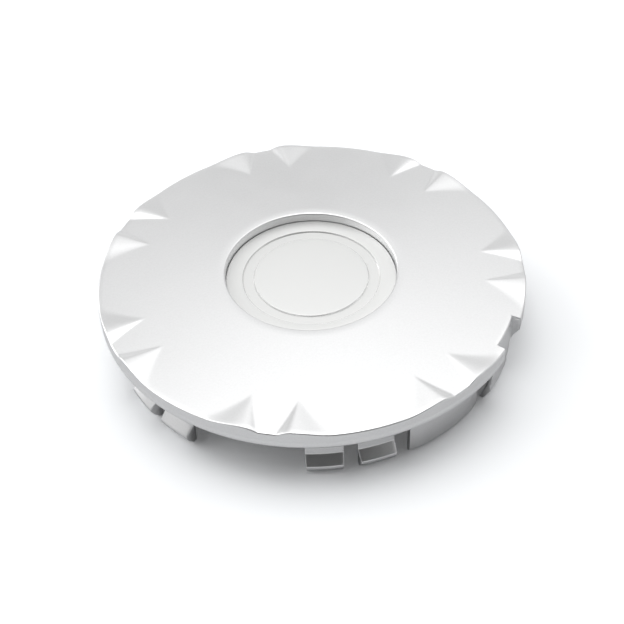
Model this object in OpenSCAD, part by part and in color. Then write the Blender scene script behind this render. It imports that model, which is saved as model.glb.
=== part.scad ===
// Wheel centre cap for a seven-spoke alloy wheel, 168 mm across.
// One moulding makes the domed face with its seven pairs of flutes, the skirt, the recess
// for the medallion, and the circle of snap clips and locating walls behind the face.
// The origin is on the cap's axis, in the plane of the clip feet, with +Z towards the face.

/* [Face] */
// Outside diameter of the rim
cap_d = 168; // [162:1:174]
// Height of the rim's top edge above the clip feet
rim_z = 28.8; // [27:0.2:32]
// Rise of the dome at the centre above the rim's top edge
crown_h = 4.3; // [3:0.1:5.5]
// Wall thickness of the face
face_t = 2.8; // [2.4:0.1:3.2]

/* [Skirt] */
// Height of the upright skirt below the rim's top edge
skirt_h = 6.2; // [5.6:0.1:7]
// Wall thickness of the skirt
skirt_t = 2.8; // [2.4:0.1:3.2]
// Height of the tapered lip below the skirt
lip_h = 1.8; // [1.4:0.1:2.4]
// Thickness of the lip along its lower edge
lip_t = 1.3; // [0.9:0.1:1.6]

/* [Flutes] */
// Number of flute pairs, one for each spoke of the wheel
pair_n = 7; // [5:1:8]
// Direction of the first pair, in degrees
pair_angle = 0.5; // [0:0.5:20]
// Length of a flute, from its tip to the rim
flute_len = 16.5; // [13:0.5:20]
// Distance between the two tips of a pair
tip_gap = 17; // [14:0.5:19]
// Width of the valley between the two creases, at the rim
valley_w = 5.8; // [4:0.1:8]
// Distance between the two ridges, at the rim
ridge_gap = 17.6; // [16:0.2:19]
// Width of a pair at the rim, out to where it fades into the dome
pair_w = 50.6; // [44:0.2:56]
// Height of a ridge above the dome, at the rim
flute_h = 1.6; // [1:0.1:2]

/* [Recess] */
// Diameter of the recess
recess_d = 67.6; // [62:0.2:72]
// Depth of the recess, from its mouth to the medallion's margin
recess_h = 3.7; // [3:0.1:4.4]
// Round along the mouth of the recess
mouth_round = 0.7; // [0.3:0.1:1]
// Thickness of the recess wall
well_t = 2.2; // [1.8:0.1:3]
// Thickness of the recess floor
floor_t = 2.4; // [2:0.1:3]

/* [Medallion] */
// Gap all round between the medallion and the recess wall
medal_gap = 0.3; // [0.2:0.05:0.5]
// Thickness of the medallion at its margin
medal_t = 1.4; // [1.2:0.1:1.8]
// Outside diameter of the sunken ring
ring_d = 54.2; // [50:0.2:58]
// Width of the sunken ring
ring_w = 4.6; // [3:0.1:6]
// Depth of the sunken ring below the margin
ring_h = 0.6; // [0.3:0.1:0.8]
// Rise of the bare field at its centre above the margin
field_h = 0.8; // [0.4:0.1:1.2]
// Diameter of the two locating pins behind the medallion
pin_d = 3; // [2.4:0.1:4]
// Distance between the two locating pins
pin_gap = 36; // [28:1:42]
// Clearance round each locating pin
pin_clear = 0.1; // [0.05:0.05:0.3]

/* [Clips] */
// Number of clip pairs
clip_pairs = 6; // [4:2:6]
// Direction of the first clip pair, in degrees
clip_angle = -20.8; // [-22:0.1:-20]
// Width of a clip
clip_w = 14; // [12:0.5:15]
// Distance between the centre lines of the two clips of a pair
clip_pitch = 20.5; // [19.5:0.1:22]
// Distance from the rim's outside in to the outside of the clip stems
clip_inset = 8.5; // [8:0.1:9.5]
// Thickness of a clip stem
clip_t = 2; // [1.6:0.1:2.4]
// Distance that the nose stands out from the stem
nose_out = 3.4; // [2.4:0.1:3.8]
// Height of the nose above the clip's foot
nose_z = 6; // [5:0.1:7]
// Height of the retaining slope above the nose
slope_h = 3.6; // [2.6:0.1:4.4]

/* [Locating walls] */
// Width of a locating wall
wall_w = 35.6; // [28:0.2:38]
// Thickness of a locating wall
wall_t = 2.5; // [2:0.1:3]
// Distance from the rim's outside in to the outside of the locating walls
wall_inset = 6; // [5.6:0.1:6.8]
// Height of a locating wall's lower edge above the clip feet
wall_z = 1.5; // [1:0.1:3]
// Round along a locating wall's lower edge
wall_round = 2; // [1:0.1:2]
// Width of the flat at each end of a locating wall
wall_flat = 5; // [3:0.5:7]

/* [Pry notch] */
// Direction of the pry notch, in degrees
notch_angle = -25.8; // [-26.6:0.1:-25.2]
// Width of the pry notch
notch_w = 18.2; // [15:0.2:19]
// Depth of the pry notch, in from the rim
notch_depth = 3.35; // [3:0.05:3.8]
// Thickness of the wall behind the pry notch
notch_wall_t = 2; // [1.6:0.1:2.4]
// Thickness of the web at each end of that wall
web_t = 1.5; // [1:0.1:2]

/* [Ribs] */
// Number of radial ribs
rib_n = 12; // [6:1:16]
// Thickness of a rib
rib_t = 1.8; // [1.4:0.1:2.4]
// Height of the ribs below the face
rib_h = 4; // [3:0.1:5]
// Diameter of the ring rib, along its centre line
ring_rib_d = 108; // [100:1:120]

/* [Hidden] */
$fn = 180;

silver = [0.80, 0.81, 0.82];
bright = [0.90, 0.90, 0.91];

// Small amount by which a cutter passes what it cuts
over = 1;

cap_r = cap_d / 2;
lip_r = cap_r - skirt_t;
recess_r = recess_d / 2;
well_r = recess_r + well_t;
stem_r = cap_r - clip_inset;
stem_in_r = stem_r - clip_t;
nose_r = stem_r + nose_out;
wall_r = cap_r - wall_inset;
notch_r = cap_r - notch_depth;

skirt_z = rim_z - skirt_h;
lip_z = skirt_z - lip_h;
mouth_z = face_z(recess_r);
floor_z = mouth_z - recess_h - medal_t;
well_z = floor_z - floor_t;
slope_z = nose_z + slope_h;

// Height of the dome at radius r
function face_z(r) = rim_z + crown_h * (1 - pow(r / cap_r, 2));

// Height of the middle of the face's wall, where everything behind the face takes root
function root_z(r) = face_z(r) - face_t / 2;

// Points along the dome from radius a to radius b, lowered by drop
dome_steps = 12;
function dome_line(a, b, drop) =
    [for (i = [0:dome_steps]) let (r = a + (b - a) * i / dome_steps) [r, face_z(r) - drop]];

// Points along an arc about centre c, from angle a to angle b
arc_steps = 5;
function arc(c, radius, a, b) =
    [for (i = [0:arc_steps]) let (t = a + (b - a) * i / arc_steps) c + radius * [cos(t), sin(t)]];

// Angle, in degrees, of a given width measured along an arc
function span(width, radius) = 180 * width / (PI * radius);

// A section turned about the axis from angle a to angle b
module sweep(a, b) {
    rotate([0, 0, a])
        rotate_extrude(angle = b - a)
            children();
}

// An upright plate in the plane through the axis, with a thickness shared to both sides
module plate(thickness) {
    rotate([90, 0, 0])
        translate([0, 0, -thickness / 2])
            linear_extrude(height = thickness)
                children();
}

// Dome, skirt and recess as one revolved section, before the rim and the lip are trimmed
module blank() {
    round_r = recess_r + mouth_round;
    round_z = face_z(round_r) - mouth_round;
    rotate_extrude()
        polygon(concat(
            [[0, well_z], [0, floor_z], [recess_r, floor_z]],
            arc([round_r, round_z], mouth_round, 180, 90),
            dome_line(round_r + mouth_round, cap_r + over, 0),
            [[cap_r + over, lip_z - over], [lip_r, lip_z - over]],
            dome_line(lip_r, well_r, face_t),
            [[well_r, well_z]]));
}

// Outline that trims the rim to a true cylinder and tapers the lip below it
module trim() {
    top_z = face_z(0) + flute_h;
    rotate_extrude()
        polygon([[0, lip_z], [lip_r + lip_t, lip_z], [cap_r, skirt_z], [cap_r, top_z], [0, top_z]]);
}

// A flute grows from its tip to the rim. Across it, s is 0 at the crease beside the valley,
// 1 on the ridge and 2 where it has faded into the dome. It is sunk a little, so that it
// leaves the dome along a clean line.
flute_rows = 6;
flute_start = 0.02;
flute_end = 1.22;
flute_sink = 0.05;
flute_s = [0, 0.25, 0.5, 0.75, 1, 1.2, 1.4, 1.6, 1.8, 2];

// Height across a flute, as a share of the ridge's height
function flute_rise(s) = s < 1 ? sin(90 * s) : (1 + cos(180 * (s - 1))) / 2;

// Direction from the pair's centre line at growth t, in degrees
function flute_angle(t, s) =
    let (tip = asin(tip_gap / 2 / (cap_r - flute_len)),
         crease = asin(valley_w / 2 / cap_r),
         ridge = asin(ridge_gap / 2 / cap_r),
         fade = asin(pair_w / 2 / cap_r),
         rim = s < 1 ? crease + (ridge - crease) * s : ridge + (fade - ridge) * (s - 1))
    tip + (rim - tip) * t;

function flute_point(t, s, z) =
    let (r = cap_r - flute_len * (1 - t), a = flute_angle(t, s))
    [r * cos(a), r * sin(a), face_z(r) + z];

module flute() {
    rows = [for (i = [0:flute_rows]) flute_start + (flute_end - flute_start) * i / flute_rows];
    n = len(flute_s);
    top = [for (t = rows) for (s = flute_s) flute_point(t, s, flute_h * t * flute_rise(s) - flute_sink)];
    base = [for (t = rows) for (s = flute_s) flute_point(t, s, -face_t / 2)];
    polyhedron(points = concat(top, base), faces = sheet_faces(len(rows), n), convexity = 4);
}

// Faces of a solid between an upper and a lower grid of points, each of n rows by m columns
function sheet_faces(n, m) =
    let (low = n * m)
    concat(
        [for (i = [0:n - 2]) for (j = [0:m - 2])
            each quad(i * m + j, i * m + j + 1, (i + 1) * m + j + 1, (i + 1) * m + j)],
        [for (i = [0:n - 2]) for (j = [0:m - 2])
            each quad(low + i * m + j, low + (i + 1) * m + j,
                low + (i + 1) * m + j + 1, low + i * m + j + 1)],
        [for (i = [0:n - 2])
            each quad(i * m, (i + 1) * m, low + (i + 1) * m, low + i * m)],
        [for (i = [1:n - 1])
            each quad(i * m + m - 1, i * m - 1, low + i * m - 1, low + i * m + m - 1)],
        [for (j = [0:m - 2])
            each quad(j + 1, j, low + j, low + j + 1)],
        [for (j = [low - m:low - 2])
            each quad(j, j + 1, low + j + 1, low + j)]);

function quad(a, b, c, d) = [[a, b, c], [a, c, d]];

module flutes() {
    for (i = [0:pair_n - 1])
        rotate([0, 0, pair_angle + i * 360 / pair_n]) {
            flute();
            mirror([0, 1, 0]) flute();
        }
}

// The face with its flutes, trimmed at the rim and cut for the pry notch
module shell() {
    difference() {
        union() {
            intersection() {
                union() {
                    blank();
                    flutes();
                }
                trim();
            }
            notch_block();
        }
        notch_cut();
    }
}

// Snap clip: a thin stem, a slope that holds the wheel's edge, a nose and a lead-in
nose_land = 1.2;
knee_z = 2.2;
knee_back = 1.5;
foot_t = 1.8;

module clip(angle) {
    half = span(clip_w, nose_r) / 2;
    sweep(angle - half, angle + half)
        polygon([
            [stem_in_r, 0],
            [stem_in_r, root_z(stem_in_r)],
            [stem_r, root_z(stem_r)],
            [stem_r, slope_z],
            [nose_r, nose_z],
            [nose_r, nose_z - nose_land],
            [nose_r - knee_back, knee_z],
            [stem_in_r + foot_t, 0]]);
}

// The wall behind the pry notch takes the place of the first clip
module clips() {
    side = span(clip_pitch, nose_r) / 2;
    for (i = [0:clip_pairs - 1]) {
        turn = clip_angle + i * 360 / clip_pairs;
        clip(turn + side);
        if (i > 0) clip(turn - side);
    }
}

// Locating wall: stiff and curved, with a round lower edge and a flat at each end
flat_back = 0.55;
gusset_t = 1.6;
gusset_w = 4.5;
gusset_h = 8;

module locating_wall() {
    half = span(wall_w, wall_r) / 2;
    wall_in_r = wall_r - wall_t;
    intersection() {
        sweep(-half, half)
            polygon(concat(
                [[wall_in_r, wall_z], [wall_in_r, root_z(wall_in_r)], [wall_r, root_z(wall_r)]],
                arc([wall_r - wall_round, wall_z + wall_round], wall_round, 0, -90)));
        wall_outline(half);
    }
    for (side = [-1, 1])
        rotate([0, 0, side * half / 2]) gusset(wall_in_r + wall_t / 2);
}

// Upright block whose sides carry the two end flats, each run on past the wall's outside
module wall_outline(half) {
    knee = half - span(wall_flat, wall_r);
    end_p = (wall_r - flat_back) * [cos(half), sin(half)];
    past_p = 2 * wall_r * [cos(knee), sin(knee)] - end_p;
    far_x = 2 * cap_r;
    linear_extrude(height = rim_z + crown_h)
        polygon([
            [0, 0],
            [end_p[0], -end_p[1]],
            [past_p[0], -past_p[1]],
            [far_x, -past_p[1]],
            [far_x, past_p[1]],
            past_p,
            end_p]);
}

// Web in the corner between a locating wall and the face, with its foot at radius r
module gusset(r) {
    plate(gusset_t)
        polygon([
            [r - gusset_w, root_z(r - gusset_w)],
            [r, root_z(r)],
            [r, root_z(r) - face_t / 2 - gusset_h]]);
}

// One wall in every second gap between the clip pairs
module locating_walls() {
    for (i = [0:clip_pairs / 2 - 1])
        rotate([0, 0, clip_angle + (2 * i - 0.5) * 360 / clip_pairs]) locating_wall();
}

// Pry notch: an opening in the rim for a flat tool. A block behind the skirt closes it and
// leaves a wall and two end webs once the notch is cut, and the widest clip hangs from it.
notch_half = span(notch_w, cap_r) / 2;
notch_from = notch_angle - notch_half;
notch_to = notch_angle + notch_half;
block_drop = 3.5;
block_z = lip_z - block_drop;
wall_lean = 0.4;
wall_step = 0.15;
catch_back = 0.6;
catch_h = 1;
catch_nose = 0.4;
catch_nose_z = 5.1;

module notch_block() {
    web = span(web_t, notch_r);
    web_r = lip_r + lip_t / 2;
    sweep(notch_from - web, notch_to + web)
        polygon([
            [notch_r - notch_wall_t, block_z],
            [notch_r + wall_step, block_z],
            [web_r, lip_z + lip_t / 4],
            [web_r, root_z(web_r)],
            [notch_r - notch_wall_t, root_z(notch_r - notch_wall_t)]]);
}

module notch_cut() {
    sweep(notch_from, notch_to)
        translate([notch_r, block_z - over])
            square([notch_depth + over, rim_z + crown_h - block_z + 2 * over]);
}

module notch_clip() {
    top_r = notch_r - wall_step;
    lean_r = top_r - wall_lean;
    catch_r = lean_r - catch_back;
    tip_r = catch_r + catch_nose;
    catch_z = slope_z - catch_back;
    ease = span(wall_step, notch_r);
    sweep(notch_from - span(web_t, notch_r) + ease, notch_to - ease)
        polygon([
            [notch_r - notch_wall_t + wall_step, block_z + over],
            [top_r, block_z + over],
            [top_r, block_z],
            [lean_r, catch_z],
            [catch_r, catch_z - catch_h],
            [tip_r, catch_nose_z],
            [tip_r - knee_back, knee_z],
            [stem_in_r + 2 * foot_t, 0],
            [stem_in_r + foot_t, 0],
            [catch_r - clip_t, catch_z - catch_h]]);
}

// Ribs of one height behind the face: radial ones from the recess to the clips, and a ring
module ribs() {
    inner_r = recess_r + well_t / 2;
    outer_r = stem_in_r - clip_t / 2;
    for (i = [0:rib_n - 1])
        rotate([0, 0, clip_angle + i * 360 / rib_n])
            plate(rib_t)
                polygon([
                    [inner_r, root_z(inner_r)],
                    [outer_r, root_z(outer_r)],
                    [outer_r, face_z(outer_r) - face_t - rib_h / 2],
                    [outer_r - rib_h / 2, face_z(outer_r) - face_t - rib_h],
                    [inner_r, face_z(inner_r) - face_t - rib_h]]);
    ring_in_r = (ring_rib_d - rib_t) / 2;
    rotate_extrude()
        translate([ring_in_r, face_z(ring_in_r) - face_t - rib_h])
            square([rib_t, rib_h + face_t / 2]);
}

// The two places where the medallion's pins pass through the recess floor
module at_pins() {
    for (side = [-1, 1])
        translate([side * pin_gap / 2, 0, 0]) children();
}

module cap_body() {
    color(silver)
        difference() {
            union() {
                shell();
                clips();
                locating_walls();
                notch_clip();
                ribs();
            }
            at_pins()
                translate([0, 0, well_z - over])
                    cylinder(d = pin_d + 2 * pin_clear, h = floor_t + 2 * over);
        }
}

// Medallion: a disc with a flat margin, a sunken ring and a bare, slightly domed field
edge_round = 0.3;
field_steps = 8;

module medallion() {
    medal_r = recess_r - medal_gap;
    ring_r = ring_d / 2;
    field_r = ring_r - ring_w;
    bottom_z = medal_t - ring_h;
    field_line = [for (i = [0:field_steps]) let (r = field_r * (1 - i / field_steps))
        [r, medal_t + field_h * (1 - pow(r / field_r, 2))]];
    color(bright)
        translate([0, 0, floor_z]) {
            rotate_extrude()
                polygon(concat(
                    [[0, 0], [medal_r, 0]],
                    arc([medal_r - edge_round, medal_t - edge_round], edge_round, 0, 90),
                    [[ring_r, medal_t],
                     [ring_r - ring_h / 2, bottom_z],
                     [field_r + ring_h / 2, bottom_z]],
                    field_line));
            at_pins()
                translate([0, 0, -floor_t])
                    cylinder(d = pin_d, h = floor_t + bottom_z / 2);
        }
}

cap_body();
medallion();
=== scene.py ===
"""Dress the wheel centre cap: its finish, floor, light and camera.

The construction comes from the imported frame. This script replaces the plain moulding and the
plain medallion by finely made ones of the same size, and gives both their finishes. All
lengths are in metres, in the frame's own axes, with +Z from the clips to the face.
"""

from __future__ import annotations

import logging
import math
from collections.abc import Iterable
from dataclasses import dataclass, field

import bmesh
import bpy
from mathutils import Matrix, Vector

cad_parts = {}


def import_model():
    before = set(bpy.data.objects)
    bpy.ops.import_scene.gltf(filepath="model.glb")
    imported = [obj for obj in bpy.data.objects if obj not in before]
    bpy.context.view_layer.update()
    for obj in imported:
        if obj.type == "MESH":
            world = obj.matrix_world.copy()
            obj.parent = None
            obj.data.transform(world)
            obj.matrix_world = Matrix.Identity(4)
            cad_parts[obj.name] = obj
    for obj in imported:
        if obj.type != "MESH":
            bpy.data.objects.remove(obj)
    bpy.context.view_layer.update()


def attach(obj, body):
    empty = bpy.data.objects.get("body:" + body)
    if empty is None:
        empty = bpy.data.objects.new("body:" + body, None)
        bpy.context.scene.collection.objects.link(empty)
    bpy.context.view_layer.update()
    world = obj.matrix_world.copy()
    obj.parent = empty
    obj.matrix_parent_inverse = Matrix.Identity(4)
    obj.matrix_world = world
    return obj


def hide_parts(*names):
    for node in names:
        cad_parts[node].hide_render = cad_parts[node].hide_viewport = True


LOG = logging.getLogger("wheel_cap")
MM = 0.001
FULL_TURN = 2 * math.pi

# Points closer than this are the same point.
MERGE_GAP = 0.001 * MM

# The turn, in degrees, from which an edge of a piece stays sharp.
CREASE = 32.0

# Noise detail of the fine grain, and how strongly it bends the normals.
FINE_DETAIL = 3.0
BUMP_STRENGTH = 0.6

# The Mix node's sockets for colours. Their names are shared, so they go by number.
MIX_FACTOR, MIX_FIRST, MIX_SECOND, MIX_RESULT = 0, 6, 7, 2

Point = tuple[float, float]


def blend(a: float, b: float, share: float) -> float:
    """Return the value that lies a given share of the way from a to b."""
    return a + (b - a) * share


def evenly(start: float, end: float, steps: int) -> list[float]:
    """Return equally spaced values from start to end, both included."""
    return [blend(start, end, i / steps) for i in range(steps + 1)]


def arc(centre: Point, radius: float, start: float, end: float, steps: int) -> list[Point]:
    """Return points along an arc.

    Args:
        centre: the arc's centre.
        radius: the arc's radius.
        start: the first direction, in degrees.
        end: the last direction, in degrees.
        steps: the number of equal steps between them.

    Returns:
        The points from the first direction to the last, both included.
    """
    turns = [math.radians(turn) for turn in evenly(start, end, steps)]
    return [(centre[0] + radius * math.cos(t), centre[1] + radius * math.sin(t)) for t in turns]


def line(start: Point, end: Point, steps: int) -> list[Point]:
    """Return equally spaced points from start to end, both included."""
    return list(zip(evenly(start[0], end[0], steps), evenly(start[1], end[1], steps)))


def unit(value: float) -> float:
    """Return the value kept between 0 and 1."""
    return max(0.0, min(1.0, value))


def eased(share: float, softness: float) -> float:
    """Return a share from 0 to 1 whose start is rounded off over about the given softness."""
    return (math.hypot(share, softness) - softness) / (math.hypot(1, softness) - softness)


class Port:
    """A shader socket that adds its Math nodes when it is used in an expression."""

    def __init__(self, tree: bpy.types.NodeTree, socket: bpy.types.NodeSocket) -> None:
        """Wrap one output socket of a node tree."""
        self.tree = tree
        self.socket = socket

    def _math(self, operation: str, *values: "Port | float", clamp: bool = False) -> "Port":
        """Add one Math node and return its result.

        Args:
            operation: the Math node's operation.
            values: a port or a number for each input, in order.
            clamp: whether the result is kept between 0 and 1.

        Returns:
            The port of the node's output.
        """
        node = self.tree.nodes.new("ShaderNodeMath")
        node.operation = operation
        node.use_clamp = clamp
        for slot, value in zip(node.inputs, values):
            if isinstance(value, Port):
                self.tree.links.new(value.socket, slot)
            else:
                slot.default_value = value
        return Port(self.tree, node.outputs[0])

    def __add__(self, other: "Port | float") -> "Port":
        """Return the sum."""
        return self._math("ADD", self, other)

    def __radd__(self, other: float) -> "Port":
        """Return the sum with a number on the left."""
        return self._math("ADD", other, self)

    def __sub__(self, other: "Port | float") -> "Port":
        """Return the difference."""
        return self._math("SUBTRACT", self, other)

    def __rsub__(self, other: float) -> "Port":
        """Return the difference from a number on the left."""
        return self._math("SUBTRACT", other, self)

    def __mul__(self, other: "Port | float") -> "Port":
        """Return the product."""
        return self._math("MULTIPLY", self, other)

    def __rmul__(self, other: float) -> "Port":
        """Return the product with a number on the left."""
        return self._math("MULTIPLY", other, self)

    def __truediv__(self, other: "Port | float") -> "Port":
        """Return the quotient."""
        return self._math("DIVIDE", self, other)

    def __pow__(self, other: "Port | float") -> "Port":
        """Return the power."""
        return self._math("POWER", self, other)

    def clamped(self) -> "Port":
        """Return the value kept between 0 and 1."""
        return self._math("ADD", self, 0.0, clamp=True)

    def ramp_up(self, low: float, high: float) -> "Port":
        """Return 0 below low, 1 above high and a straight line between them."""
        return ((self - low) / (high - low)).clamped()


class Shader:
    """The node tree of a material or a world, with one method that adds any node."""

    def __init__(self, owner: bpy.types.Material | bpy.types.World) -> None:
        """Start an empty node tree in a new material or world."""
        self.owner = owner
        self.owner.use_nodes = True
        self.tree = self.owner.node_tree
        self.tree.nodes.clear()

    def node(self, kind: str, settings: dict | None = None,
             inputs: dict | None = None) -> bpy.types.Node:
        """Add a node.

        Args:
            kind: the node's type.
            settings: properties that are set first.
            inputs: a port, a socket or a plain value for each named or numbered input.

        Returns:
            The new node.
        """
        made = self.tree.nodes.new(kind)
        for key, value in (settings or {}).items():
            setattr(made, key, value)
        for key, value in (inputs or {}).items():
            if isinstance(value, Port):
                value = value.socket
            if isinstance(value, bpy.types.NodeSocket):
                self.tree.links.new(value, made.inputs[key])
            else:
                made.inputs[key].default_value = value
        return made

    def port(self, kind: str, output: str | int, settings: dict | None = None,
             inputs: dict | None = None) -> Port:
        """Add a node and return one of its outputs as a port."""
        return Port(self.tree, self.node(kind, settings, inputs).outputs[output])

    def noise(self, place: Port, size: float, detail: float = 2.0) -> Port:
        """Return even noise from 0 to 1 whose features have the given size in metres."""
        return self.port("ShaderNodeTexNoise", "Fac", {},
                         {"Vector": place, "Scale": 1 / size, "Detail": detail, "Roughness": 0.6})

    def split(self, vector: Port) -> list[Port]:
        """Return the three parts of a vector."""
        parts = self.node("ShaderNodeSeparateXYZ", {}, {0: vector})
        return [Port(self.tree, part) for part in parts.outputs]

    def bump(self, height: Port, depth: float) -> Port:
        """Return the normals of a surface whose relief has the given depth in metres."""
        return self.port("ShaderNodeBump", 0, {},
                         {"Height": height, "Strength": BUMP_STRENGTH, "Distance": depth})

    def finish(self, kind: str, inputs: dict) -> bpy.types.Material | bpy.types.World:
        """Add the surface's node, link it to an output node and return the tree's owner."""
        surface = self.node(kind, {}, inputs)
        is_world = isinstance(self.owner, bpy.types.World)
        self.node("ShaderNodeOutputWorld" if is_world else "ShaderNodeOutputMaterial", {},
                  {"Surface": surface.outputs[0]})
        return self.owner


@dataclass(frozen=True)
class SilverPaint:
    """Satin silver metallic paint on moulded plastic."""

    colour: tuple[float, float, float] = (0.800, 0.803, 0.806)
    metallic: float = 0.90
    roughness: float = 0.30
    grain: float = 0.70 * MM
    grain_depth: float = 0.018 * MM
    grain_tint: float = 0.060
    cloud: float = 14 * MM
    cloud_rough: float = 0.03

    def build(self) -> bpy.types.Material:
        """Return the material, with fine flake grain and soft changes of gloss."""
        shader = Shader(bpy.data.materials.new("silver_paint"))
        place = shader.port("ShaderNodeTexCoord", "Object")
        grain = shader.noise(place, self.grain, FINE_DETAIL)
        cloud = shader.noise(place, self.cloud)
        tint = 1 + (grain - 0.5) * (2 * self.grain_tint)
        grey = shader.port("ShaderNodeCombineColor", 0, {}, {0: tint, 1: tint, 2: tint})
        colour = shader.port(
            "ShaderNodeMix", MIX_RESULT, {"data_type": "RGBA", "blend_type": "MULTIPLY"},
            {MIX_FACTOR: 1.0, MIX_FIRST: (*self.colour, 1.0), MIX_SECOND: grey})
        return shader.finish("ShaderNodeBsdfPrincipled", {
            "Base Color": colour,
            "Metallic": self.metallic,
            "Roughness": self.roughness + (cloud - 0.5) * (2 * self.cloud_rough),
            "Normal": shader.bump(grain, self.grain_depth)})


@dataclass(frozen=True)
class BrightTrim:
    """Satin bright metal with a polished sunken ring."""

    ring_inner: float
    ring_outer: float
    colour: tuple[float, float, float] = (0.742, 0.746, 0.738)
    metallic: float = 0.45
    satin: float = 0.46
    polished: float = 0.10
    edge: float = 0.3 * MM
    grain: float = 0.30 * MM
    grain_depth: float = 0.010 * MM

    def build(self) -> bpy.types.Material:
        """Return the material, satin outside the ring and polished in it."""
        shader = Shader(bpy.data.materials.new("bright_trim"))
        place = shader.port("ShaderNodeTexCoord", "Object")
        x, y, _ = shader.split(place)
        radius = (x * x + y * y) ** 0.5
        inside = radius.ramp_up(self.ring_inner - self.edge, self.ring_inner)
        outside = radius.ramp_up(self.ring_outer, self.ring_outer + self.edge)
        polished = inside * (1 - outside)
        grain = shader.noise(place, self.grain, FINE_DETAIL)
        return shader.finish("ShaderNodeBsdfPrincipled", {
            "Base Color": (*self.colour, 1.0),
            "Metallic": self.metallic,
            "Roughness": self.satin + polished * (self.polished - self.satin),
            "Normal": shader.bump(grain * (1 - polished), self.grain_depth)})


@dataclass(frozen=True)
class PaleFloor:
    """Plain white studio floor that keeps the cap's soft shadow."""

    seen: tuple[float, float, float] = (0.970, 0.985, 1.000)
    bounce: tuple[float, float, float] = (0.615, 0.620, 0.630)
    lift: float = 0.06
    roughness: float = 0.9
    shine: float = 0.2

    def build(self) -> bpy.types.Material:
        """Return the material, white to the camera and greyer to the light that it bounces."""
        shader = Shader(bpy.data.materials.new("studio_floor"))
        rays = shader.port("ShaderNodeLightPath", "Is Camera Ray")
        colour = shader.port("ShaderNodeMix", MIX_RESULT, {"data_type": "RGBA"}, {
            MIX_FACTOR: rays, MIX_FIRST: (*self.bounce, 1.0), MIX_SECOND: (*self.seen, 1.0)})
        return shader.finish("ShaderNodeBsdfPrincipled", {
            "Base Color": colour,
            "Roughness": self.roughness,
            "Specular IOR Level": self.shine,
            "Emission Color": rays,
            "Emission Strength": self.lift})


class MeshShop:
    """Shapes that the cap's pieces are joined from."""

    @staticmethod
    def lathe(section: list[Point], columns: int) -> bmesh.types.BMesh:
        """Turn a section, from the axis out and back to it, a full turn about the axis.

        Args:
            section: the corners of the section, as radius and height.
            columns: the number of steps round the axis.

        Returns:
            The closed solid. Its faces are still to be turned outwards.
        """
        solid = bmesh.new()
        corners = [solid.verts.new((r, 0, z)) for r, z in section]
        edges = [solid.edges.new(pair) for pair in zip(corners, corners[1:])]
        bmesh.ops.spin(solid, geom=edges + corners, axis=(0, 0, 1), cent=(0, 0, 0),
                       angle=FULL_TURN, steps=columns, use_merge=True)
        bmesh.ops.remove_doubles(solid, verts=solid.verts, dist=MERGE_GAP)
        return solid

    @staticmethod
    def turned(section: list[Point], start: float, end: float, steps: int) -> bmesh.types.BMesh:
        """Turn a closed section about the axis into a solid with two flat ends.

        Args:
            section: the corners of the section, as radius and height.
            start: the first direction, in degrees.
            end: the last direction, in degrees.
            steps: the number of steps between them.

        Returns:
            The solid.
        """
        solid = bmesh.new()
        turn = Matrix.Rotation(math.radians(start), 4, "Z")
        corners = [solid.verts.new(turn @ Vector((r, 0, z))) for r, z in section]
        edges = [solid.edges.new((a, b)) for a, b in zip(corners, corners[1:] + corners[:1])]
        bmesh.ops.spin(solid, geom=edges + corners, axis=(0, 0, 1), cent=(0, 0, 0),
                       angle=math.radians(end - start), steps=steps)
        rims = [edge for edge in solid.edges if edge.is_boundary]
        bmesh.ops.holes_fill(solid, edges=rims, sides=0)
        bmesh.ops.recalc_face_normals(solid, faces=solid.faces)
        return solid

    @staticmethod
    def plate(outline: list[Point], thickness: float) -> bmesh.types.BMesh:
        """Return an upright plate in the plane through the axis, about direction 0."""
        solid = bmesh.new()
        corners = [solid.verts.new((r, -thickness / 2, z)) for r, z in outline]
        side = solid.faces.new(corners)
        grown = bmesh.ops.extrude_face_region(solid, geom=[side])
        moved = [part for part in grown["geom"] if isinstance(part, bmesh.types.BMVert)]
        bmesh.ops.translate(solid, verts=moved, vec=(0, thickness, 0))
        bmesh.ops.recalc_face_normals(solid, faces=solid.faces)
        return solid

    @staticmethod
    def soften(solid: bmesh.types.BMesh, radius: float, least_turn: float = 18.0,
               segments: int = 3) -> None:
        """Round the edges where the surface turns by more than a given angle.

        Args:
            solid: the solid, which is changed.
            radius: the size of the round.
            least_turn: the smallest turn that counts as an edge, in degrees.
            segments: the number of steps across the round.
        """
        limit = math.radians(least_turn)
        sharp = [edge for edge in solid.edges
                 if edge.is_manifold and edge.calc_face_angle(0.0) > limit]
        bmesh.ops.bevel(solid, geom=sharp, offset=radius, offset_type="OFFSET", affect="EDGES",
                        segments=segments, profile=0.5, material=-1, clamp_overlap=True)

    @staticmethod
    def rotate(solid: bmesh.types.BMesh, degrees: float) -> None:
        """Turn a whole solid about the axis."""
        bmesh.ops.rotate(solid, verts=solid.verts, cent=(0, 0, 0),
                         matrix=Matrix.Rotation(math.radians(degrees), 3, "Z"))

    @staticmethod
    def join(whole: bmesh.types.BMesh, part: bmesh.types.BMesh) -> None:
        """Add a part's mesh to the whole and free the part."""
        carrier = bpy.data.meshes.new("carrier")
        part.to_mesh(carrier)
        whole.from_mesh(carrier)
        bpy.data.meshes.remove(carrier)
        part.free()

    @staticmethod
    def piece(name: str, solid: bmesh.types.BMesh) -> bpy.types.Object:
        """Make a smooth-shaded object of a mesh.

        Args:
            name: the object's name.
            solid: the mesh, which is freed.

        Returns:
            The object, at the origin and linked to the scene.
        """
        mesh = bpy.data.meshes.new(name)
        for face in solid.faces:
            face.smooth = True
        solid.to_mesh(mesh)
        solid.free()
        mesh.set_sharp_from_angle(angle=math.radians(CREASE))
        made = bpy.data.objects.new(name, mesh)
        bpy.context.scene.collection.objects.link(made)
        return made


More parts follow.
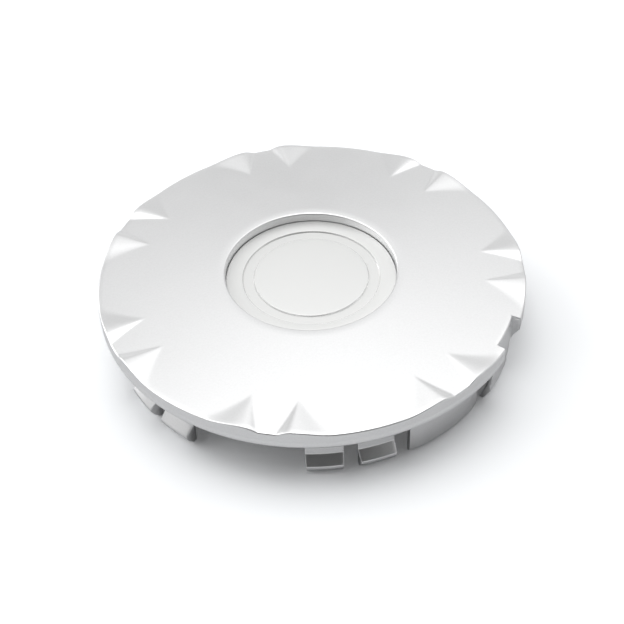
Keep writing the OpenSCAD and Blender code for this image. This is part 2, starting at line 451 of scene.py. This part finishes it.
@dataclass
class FaceForm:
    """The dome, its flutes and the rim, as heights over the plane of the clip feet.

    Directions are in degrees, from +X towards +Y.
    """

    cap_r: float = 84 * MM
    rim_z: float = 28.8 * MM
    crown_h: float = 4.3 * MM
    face_t: float = 2.8 * MM
    pair_n: int = 7
    pair_angle: float = 0.5
    flute_len: float = 16.5 * MM
    tip_gap: float = 17 * MM
    valley_w: float = 5.8 * MM
    ridge_gap: float = 17.6 * MM
    pair_w: float = 50.6 * MM
    flute_h: float = 1.6 * MM
    tip_soft: float = 0.10
    crease_soft: float = 0.10

    @property
    def tip_r(self) -> float:
        """Radius at which the flutes start."""
        return self.cap_r - self.flute_len

    def dome(self, r: float) -> float:
        """Return the height of the plain dome at a radius."""
        return self.rim_z + self.crown_h * (1 - (r / self.cap_r) ** 2)

    def root(self, r: float) -> float:
        """Return the height of the middle of the face's wall at a radius."""
        return self.dome(r) - self.face_t / 2

    def raised(self, r: float, angle: float) -> float:
        """Return how far the flutes stand above the dome.

        Args:
            r: the radius of the place.
            angle: its direction, in degrees.

        Returns:
            The height above the plain dome.
        """
        grown = (r - self.tip_r) / self.flute_len
        if grown <= 0:
            return 0.0
        pitch = 360 / self.pair_n
        off = abs((angle - self.pair_angle + pitch / 2) % pitch - pitch / 2)
        tip = math.degrees(math.asin(self.tip_gap / 2 / self.tip_r))
        crease, ridge, fade = (
            blend(tip, math.degrees(math.asin(width / 2 / self.cap_r)), grown)
            for width in (self.valley_w, self.ridge_gap, self.pair_w))
        if off <= crease or off >= fade:
            return 0.0
        if off < ridge:
            climb = eased((off - crease) / (ridge - crease), self.crease_soft)
            share = math.sin(math.pi / 2 * climb)
        else:
            share = (1 + math.cos(math.pi * (off - ridge) / (fade - ridge))) / 2
        return self.flute_h * eased(grown, self.tip_soft) * share


@dataclass
class Moulding:
    """The cap's moulding: face, skirt, recess, clips, walls, notch and ribs.

    Directions are in degrees, from +X towards +Y. Heights whose names end in z are counted
    from the plane of the clip feet, but parting_z from the skirt's lower edge.
    """

    form: FaceForm = field(default_factory=FaceForm)
    skirt_h: float = 6.2 * MM
    skirt_t: float = 2.8 * MM
    lip_h: float = 1.8 * MM
    lip_t: float = 1.3 * MM
    rim_round: float = 0.8 * MM
    skirt_round: float = 0.25 * MM
    parting_z: float = 2.6 * MM
    parting_in: float = 0.20 * MM
    parting_h: float = 0.3 * MM
    band_gap: float = 0.2 * MM
    recess_r: float = 33.8 * MM
    recess_h: float = 3.7 * MM
    mouth_round: float = 0.7 * MM
    well_t: float = 2.2 * MM
    floor_t: float = 2.4 * MM
    medal_t: float = 1.4 * MM
    clip_pairs: int = 6
    clip_angle: float = -20.8
    clip_w: float = 14 * MM
    clip_pitch: float = 20.5 * MM
    clip_inset: float = 8.5 * MM
    clip_t: float = 2 * MM
    nose_out: float = 3.4 * MM
    nose_z: float = 6 * MM
    slope_h: float = 3.6 * MM
    nose_h: float = 1.2 * MM
    toe_in: float = 1.5 * MM
    toe_z: float = 2.2 * MM
    foot_w: float = 1.8 * MM
    clip_round: float = 0.32 * MM
    clip_draft: float = 0.085
    wall_w: float = 35.6 * MM
    wall_t: float = 2.5 * MM
    wall_inset: float = 6 * MM
    wall_z: float = 1.5 * MM
    wall_round: float = 2 * MM
    wall_flat: float = 5 * MM
    flat_back: float = 0.55 * MM
    wall_edge: float = 0.35 * MM
    gusset_w: float = 3.2 * MM
    gusset_h: float = 9.4 * MM
    gusset_t: float = 1.6 * MM
    notch_angle: float = -25.8
    notch_w: float = 18.2 * MM
    notch_depth: float = 3.35 * MM
    notch_wall_t: float = 2 * MM
    notch_sunk: float = 0.02 * MM
    notch_nudge: float = 0.01
    web_t: float = 1.5 * MM
    web_h: float = 3.5 * MM
    lean: float = 0.55 * MM
    ledge_w: float = 0.6 * MM
    ledge_h: float = 1 * MM
    catch_in: float = 0.2 * MM
    catch_z: float = 5.1 * MM
    catch_round: float = 0.3 * MM
    pad_t: float = 0.35 * MM
    pad_gap: float = 0.9 * MM
    rib_n: int = 12
    rib_t: float = 1.8 * MM
    rib_h: float = 4 * MM
    rib_round: float = 0.2 * MM
    ring_rib_r: float = 54 * MM
    ring_rib_turn: float = 359.99
    slack: float = 0.1 * MM
    columns: int = 1080
    lip_r: float = field(init=False)
    skirt_z: float = field(init=False)
    lip_z: float = field(init=False)
    floor_z: float = field(init=False)
    stem_r: float = field(init=False)
    stem_in_r: float = field(init=False)
    nose_r: float = field(init=False)
    notch_r: float = field(init=False)
    notch_half: float = field(init=False)

    def __post_init__(self) -> None:
        """Work out the radii, heights and angles that several methods share."""
        form = self.form
        self.lip_r = form.cap_r - self.skirt_t
        self.skirt_z = form.rim_z - self.skirt_h
        self.lip_z = self.skirt_z - self.lip_h
        self.floor_z = form.dome(self.recess_r) - self.recess_h - self.medal_t
        self.stem_r = form.cap_r - self.clip_inset
        self.stem_in_r = self.stem_r - self.clip_t
        self.nose_r = self.stem_r + self.nose_out
        self.notch_r = form.cap_r - self.notch_depth
        self.notch_half = self.span(self.notch_w, form.cap_r) / 2

    @staticmethod
    def span(width: float, radius: float) -> float:
        """Return the angle, in degrees, of a width measured along an arc."""
        return math.degrees(width / radius)

    def shell_section(self) -> list[Point]:
        """Return the section of face, skirt and recess, from the axis out and back."""
        form = self.form
        well_r = self.recess_r + self.well_t
        well_z = self.floor_z - self.floor_t
        round_r = self.recess_r + self.mouth_round
        round_z = form.dome(round_r) - self.mouth_round
        edge_r = form.cap_r - self.rim_round
        parting_z = self.skirt_z + self.parting_z
        band_r = form.cap_r - self.parting_in / 3
        inner = evenly(round_r, form.tip_r, 10)[1:]
        outer = evenly(form.tip_r, edge_r, 22)[1:-1]
        under = evenly(self.lip_r, well_r, 6)
        return [
            (0.0, self.floor_z),
            (self.recess_r, self.floor_z),
            *arc((round_r, round_z), self.mouth_round, 180, 90, 6),
            *((r, form.dome(r)) for r in inner + outer),
            *arc((edge_r, form.rim_z - self.rim_round), self.rim_round, 90, 0, 5),
            *line((form.cap_r, form.rim_z - self.rim_round - self.band_gap),
                  (form.cap_r, parting_z + self.band_gap / 2), 3),
            (form.cap_r - self.parting_in, parting_z),
            (band_r, parting_z - self.parting_h),
            *arc((band_r - self.skirt_round, self.skirt_z + self.skirt_round),
                 self.skirt_round, 0, -45, 2),
            (self.lip_r + self.lip_t, self.lip_z),
            (self.lip_r, self.lip_z),
            *((r, form.dome(r) - form.face_t) for r in under),
            (well_r, well_z),
            (0.0, well_z)]

    def shell(self) -> bmesh.types.BMesh:
        """Turn the section, raise the flutes and press in the pry notch."""
        solid = MeshShop.lathe(self.shell_section(), self.columns)
        for vert in solid.verts:
            vert.co = self.shaped(vert.co)
        bmesh.ops.recalc_face_normals(solid, faces=solid.faces)
        return solid

    def shaped(self, co: Vector) -> Vector:
        """Return where a point of the plain revolved shell lies on the real one.

        Args:
            co: the point on the revolved shell.

        Returns:
            The point with the flutes raised and the notch pressed in.
        """
        form = self.form
        r = math.hypot(co.x, co.y)
        if r < form.tip_r - self.slack:
            return co
        angle = math.degrees(math.atan2(co.y, co.x))
        on_top = form.dome(r) - co.z < form.face_t / 2
        outside = on_top or r > self.lip_r + self.slack
        step = 360 / self.columns
        low = round((self.notch_angle - self.notch_half) / step) * step
        high = round((self.notch_angle + self.notch_half) / step) * step
        placed = r
        if low + step / 2 < angle < high - step / 2:
            far = form.cap_r if outside else self.lip_r
            near = self.notch_r if outside else self.notch_r - self.notch_wall_t
            placed = blend(form.tip_r, near, (r - form.tip_r) / (far - form.tip_r))
            if outside and not on_top:
                placed = self.notch_r
            # The columns at the two ends move to the ends, so that the notch is square.
            if angle < low + 1.5 * step:
                angle = low + self.notch_nudge
            elif angle > high - 1.5 * step:
                angle = high - self.notch_nudge
        z = co.z + form.dome(placed) - form.dome(r) if on_top else co.z
        if outside:
            low_z = self.skirt_z + self.parting_z + self.band_gap
            high_z = form.rim_z - self.rim_round
            z += form.raised(placed, angle) * unit((co.z - low_z) / (high_z - low_z))
        turn = math.radians(angle)
        return Vector((placed * math.cos(turn), placed * math.sin(turn), z))

    def clip(self) -> bmesh.types.BMesh:
        """Return one snap clip about direction 0, with rounded edges."""
        form = self.form
        half = self.span(self.clip_w, self.nose_r) / 2
        solid = MeshShop.turned([
            (self.stem_in_r, 0.0),
            (self.stem_in_r, form.root(self.stem_in_r)),
            (self.stem_r, form.root(self.stem_r)),
            (self.stem_r, self.nose_z + self.slope_h),
            (self.nose_r, self.nose_z),
            (self.nose_r, self.nose_z - self.nose_h),
            (self.nose_r - self.toe_in, self.toe_z),
            (self.stem_in_r + self.foot_w, 0.0)], -half, half, 10)
        for vert in solid.verts:
            rise = unit((vert.co.z - self.nose_z) / self.slope_h)
            turn = math.atan2(vert.co.y, vert.co.x) * self.clip_draft * rise
            vert.co = Matrix.Rotation(turn, 3, "Z") @ vert.co
        MeshShop.soften(solid, self.clip_round)
        return solid

    def locating_wall(self) -> bmesh.types.BMesh:
        """Return one locating wall about direction 0, with its end flats and gussets."""
        form = self.form
        wall_r = form.cap_r - self.wall_inset
        inner_r = wall_r - self.wall_t
        front_r = inner_r + 0.4 * self.wall_t
        half = self.span(self.wall_w, wall_r) / 2
        knee = half - self.span(self.wall_flat, wall_r)
        solid = MeshShop.turned([
            (inner_r, self.wall_z),
            (inner_r, form.root(inner_r)),
            (wall_r, form.root(wall_r)),
            *arc((wall_r - self.wall_round, self.wall_z + self.wall_round),
                 self.wall_round, 0, -90, 6)], -half, half, 42)
        for vert in solid.verts:
            off = abs(math.degrees(math.atan2(vert.co.y, vert.co.x)))
            r = math.hypot(vert.co.x, vert.co.y)
            if off > knee and r > front_r:
                chord = wall_r * math.cos(math.radians((half - knee) / 2))
                chord /= math.cos(math.radians(off - (half + knee) / 2))
                back = self.flat_back * (off - knee) / (half - knee)
                vert.co.xy *= (chord - back) / wall_r
        MeshShop.soften(solid, self.wall_edge, 40.0)
        gusset_r = inner_r - self.gusset_w
        middle_r = inner_r + self.wall_t / 2
        for side in (-1, 1):
            gusset = MeshShop.plate([
                (gusset_r, form.root(gusset_r)),
                (middle_r, form.root(inner_r)),
                (middle_r, form.root(inner_r) - self.gusset_h)], self.gusset_t)
            MeshShop.rotate(gusset, side * half / 2)
            MeshShop.join(solid, gusset)
        return solid

    def notch_wall(self) -> bmesh.types.BMesh:
        """Return the wall behind the pry notch and the webs at its ends."""
        form = self.form
        web = self.span(self.web_t, self.notch_r)
        low, high = self.notch_angle - self.notch_half - web, self.notch_angle + self.notch_half
        inner_r = self.notch_r - self.notch_wall_t
        front_r = self.notch_r - self.notch_sunk
        web_z = self.lip_z - self.web_h
        ledge_z = self.nose_z + self.slope_h - self.ledge_w
        lean_r = self.notch_r - self.lean
        catch_r = lean_r - self.catch_in
        solid = MeshShop.turned([
            (inner_r, web_z),
            (inner_r, form.root(inner_r)),
            (front_r, form.root(self.notch_r)),
            (front_r, web_z),
            (lean_r, ledge_z),
            (lean_r - self.ledge_w, ledge_z - self.ledge_h),
            (catch_r, self.catch_z),
            (catch_r - self.toe_in, self.toe_z),
            (self.stem_in_r + 2 * self.foot_w, 0.0),
            (self.stem_in_r + self.foot_w, 0.0),
            (lean_r - self.notch_wall_t, ledge_z - self.ledge_h)], low, high, 18)
        MeshShop.soften(solid, self.catch_round)
        for start in (low, high):
            plate = MeshShop.turned([
                (inner_r, web_z),
                (self.notch_r, web_z),
                (self.lip_r + self.lip_t, self.lip_z),
                (self.lip_r + self.lip_t, form.root(self.lip_r)),
                (inner_r, form.root(inner_r))], start, start + web, 2)
            MeshShop.join(solid, plate)
        MeshShop.join(solid, self.notch_pad(high))
        return solid

    def notch_pad(self, end: float) -> bmesh.types.BMesh:
        """Return the small raised pad on the notch's end face.

        Args:
            end: the direction of that face, in degrees.

        Returns:
            The pad, whose back lies inside the moulding.
        """
        low_r, high_r = self.notch_r + self.pad_gap, self.form.cap_r - self.pad_gap / 2
        low_z, high_z = self.skirt_z + self.pad_gap / 2, self.form.rim_z - self.pad_gap
        proud = self.span(self.pad_t, high_r)
        pad = MeshShop.turned([
            (low_r, low_z), (high_r, low_z), (high_r, high_z), (low_r, high_z)],
            end - proud, end + proud, 2)
        MeshShop.soften(pad, self.pad_t / 3)
        return pad

    def ribs(self) -> bmesh.types.BMesh:
        """Return the radial ribs and the ring rib behind the face."""
        form = self.form
        inner_r = self.recess_r + self.well_t / 2
        outer_r = self.stem_in_r - self.clip_t / 2
        under = form.face_t + self.rib_h
        ring_in, ring_out = self.ring_rib_r - self.rib_t / 2, self.ring_rib_r + self.rib_t / 2
        ring_low, ring_high = form.dome(self.ring_rib_r) - under, form.root(self.ring_rib_r)
        # The ring stops a hair short of a full turn, because turned() closes its two ends.
        solid = MeshShop.turned([
            (ring_in, ring_low), (ring_in, ring_high), (ring_out, ring_high), (ring_out, ring_low)],
            0, self.ring_rib_turn, 180)
        for index in range(self.rib_n):
            rib = MeshShop.plate([
                (inner_r, form.root(inner_r)),
                (outer_r, form.root(outer_r)),
                (outer_r, form.dome(outer_r) - form.face_t - self.rib_h / 2),
                (outer_r - self.rib_h / 2, form.dome(outer_r) - under),
                (inner_r, form.dome(inner_r) - under)], self.rib_t)
            MeshShop.soften(rib, self.rib_round, 30.0, 2)
            MeshShop.rotate(rib, self.clip_angle + index * 360 / self.rib_n)
            MeshShop.join(solid, rib)
        return solid

    def build(self) -> bpy.types.Object:
        """Join the whole moulding into one piece."""
        whole = self.shell()
        side = self.span(self.clip_pitch, self.nose_r) / 2
        for index in range(self.clip_pairs):
            turn = self.clip_angle + index * 360 / self.clip_pairs
            # The notch takes the place of the first pair's second clip.
            places = (turn + side, turn - side) if index > 0 else (turn + side,)
            for place in places:
                clip = self.clip()
                MeshShop.rotate(clip, place)
                MeshShop.join(whole, clip)
        for index in range(self.clip_pairs // 2):
            wall = self.locating_wall()
            MeshShop.rotate(wall, self.clip_angle + (2 * index - 0.5) * 360 / self.clip_pairs)
            MeshShop.join(whole, wall)
        MeshShop.join(whole, self.notch_wall())
        MeshShop.join(whole, self.ribs())
        return MeshShop.piece("cap_moulding", whole)


@dataclass
class Medallion:
    """The bright disc in the recess, with a sunken ring and a bare domed field."""

    base_z: float
    disc_r: float = 33.5 * MM
    margin_t: float = 1.4 * MM
    ring_r: float = 27.1 * MM
    ring_w: float = 4.6 * MM
    ring_h: float = 0.6 * MM
    field_h: float = 0.8 * MM
    edge_round: float = 0.3 * MM
    ring_round: float = 0.15 * MM
    pin_r: float = 1.5 * MM
    pin_gap: float = 36 * MM
    pin_down: float = 2.4 * MM
    columns: int = 360

    @property
    def field_r(self) -> float:
        """Radius of the bare field inside the ring."""
        return self.ring_r - self.ring_w

    def section(self) -> list[Point]:
        """Return the disc's section, from the axis below to the axis above."""
        top = self.margin_t
        low = top - self.ring_h
        round_r = self.disc_r - self.edge_round
        small = self.ring_round
        steps = 14
        shares = [1 - i / steps for i in range(1, steps + 1)]
        rise = [(self.field_r * share, top + self.field_h * (1 - share ** 2)) for share in shares]
        flat = [
            (0.0, 0.0),
            (self.disc_r, 0.0),
            *arc((round_r, top - self.edge_round), self.edge_round, 0, 90, 4),
            *arc((self.ring_r + small, top - small), small, 90, 160, 3),
            (self.ring_r - self.ring_h / 2, low),
            (self.field_r + self.ring_h / 2, low),
            *arc((self.field_r - small, top - small), small, 20, 90, 3),
            *rise]
        return [(r, z + self.base_z) for r, z in flat]

    def build(self) -> bpy.types.Object:
        """Turn the disc and add its two pins."""
        solid = MeshShop.lathe(self.section(), self.columns)
        bmesh.ops.recalc_face_normals(solid, faces=solid.faces)
        for side in (-1, 1):
            pin = bmesh.new()
            middle = (side * self.pin_gap / 2, 0, self.base_z - self.pin_down / 2)
            bmesh.ops.create_cone(
                pin, cap_ends=True, segments=32, radius1=self.pin_r, radius2=self.pin_r,
                depth=self.pin_down, matrix=Matrix.Translation(middle))
            MeshShop.join(solid, pin)
        return MeshShop.piece("medallion_disc", solid)


@dataclass(frozen=True)
class PanelRing:
    """One ring of the light tent: soft panels at one height, from the front round by the right."""

    elevation: float
    strengths: tuple[float, ...]
    core: float = 6.0
    spread: float = 24.0

    def glow(self, x: Port, y: Port, z: Port) -> Port:
        """Add up the light of the ring's panels.

        Args:
            x: the direction's first part.
            y: its second part.
            z: its upright part.

        Returns:
            Each panel's strength in its core, falling to none at its spread.
        """
        low, high = math.cos(math.radians(self.spread)), math.cos(math.radians(self.core))
        rise = math.radians(self.elevation)
        across, upwards = math.cos(rise), math.sin(rise)
        light = z * 0.0
        for index, strength in enumerate(self.strengths):
            if strength == 0.0:
                continue
            turn = FULL_TURN * index / len(self.strengths) - math.pi / 2
            towards = x * (math.cos(turn) * across) + y * (math.sin(turn) * across) + z * upwards
            light = light + towards.ramp_up(low, high) * strength
        return light


@dataclass
class Studio:
    """Floor, light tent and camera, the camera's place and the panels fitted to the photograph."""

    eye: tuple[float, float, float] = (0.0, -0.42592, 0.417208)
    right: tuple[float, float, float] = (0.99926836, -0.02616089, -0.02789893)
    up: tuple[float, float, float] = (0.03824359, 0.69135946, 0.72149811)
    lens: float = 84.41
    sensor: float = 36.0
    floor_size: float = 6.0
    tent: tuple[PanelRing, ...] = (
        PanelRing(6, (0.22, 0.22, 0.22, 0.40, 0.40, 0.40, 0.69, 0.55, 1.04, 0.29, 0.24, 0.22)),
        PanelRing(22, (0.0, 0.0, 0.22, 0.40, 0.40, 0.40, 0.22, 0.24, 2.46, 0.24, 0.24, 0.0)),
        PanelRing(38, (0.0, 0.0, 0.22, 0.22, 0.22, 0.22, 0.30, 0.27, 0.22, 2.34, 0.22, 0.0)),
        PanelRing(54, (0.0, 0.0, 0.22, 1.16, 0.73, 0.55, 0.22, 0.22, 0.0)),
        PanelRing(70, (0.22, 0.22, 0.22, 0.31, 0.99, 0.88)),
        PanelRing(86, (2.65,)))

    def camera(self) -> None:
        """Place the camera as in the photograph."""
        data = bpy.data.cameras.new("camera")
        data.lens = self.lens
        data.sensor_width = self.sensor
        made = bpy.data.objects.new("camera", data)
        bpy.context.scene.collection.objects.link(made)
        right = Vector(self.right).normalized()
        back = right.cross(Vector(self.up)).normalized()
        up = back.cross(right)
        turn = Matrix((right, up, back)).transposed().to_4x4()
        made.matrix_world = Matrix.Translation(self.eye) @ turn
        bpy.context.scene.camera = made

    def floor(self) -> None:
        """Lay the pale floor in the plane that the clip feet stand on."""
        sheet = bmesh.new()
        bmesh.ops.create_grid(sheet, x_segments=1, y_segments=1, size=self.floor_size / 2)
        made = MeshShop.piece("studio_floor", sheet)
        made.data.materials.append(PaleFloor().build())

    def world(self) -> None:
        """Hang the light panels, which the camera itself sees as plain white."""
        shader = Shader(bpy.data.worlds.new("studio"))
        rays = shader.port("ShaderNodeLightPath", "Is Camera Ray")
        direction = shader.split(shader.port("ShaderNodeTexCoord", "Generated"))
        light = self.tent[0].glow(*direction)
        for ring in self.tent[1:]:
            light = light + ring.glow(*direction)
        bpy.context.scene.world = shader.finish("ShaderNodeBackground", {
            "Color": (1.0, 1.0, 1.0, 1.0),
            "Strength": light + rays * (1 - light)})

    def build(self) -> None:
        """Set up the whole studio."""
        bpy.context.scene.view_settings.view_transform = "Standard"
        self.camera()
        self.floor()
        self.world()


def dress(piece: bpy.types.Object, material: bpy.types.Material, node: str) -> None:
    """Give a piece its material and put it in a node's place.

    Args:
        piece: the piece.
        material: its finish.
        node: the node that it stands for.
    """
    piece.data.materials.append(material)
    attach(piece, "root")
    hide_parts(node)
    LOG.info("%s: %d faces", piece.name, len(piece.data.polygons))


def main() -> None:
    """Build the pieces, dress them and set up the studio."""
    logging.basicConfig(level=logging.INFO, format="%(name)s %(message)s")
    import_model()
    moulding = Moulding()
    dress(moulding.build(), SilverPaint().build(), "cap_body")
    medallion = Medallion(base_z=moulding.floor_z)
    trim = BrightTrim(ring_inner=medallion.field_r, ring_outer=medallion.ring_r)
    dress(medallion.build(), trim.build(), "medallion")
    Studio().build()


if __name__ == "__main__":
    main()
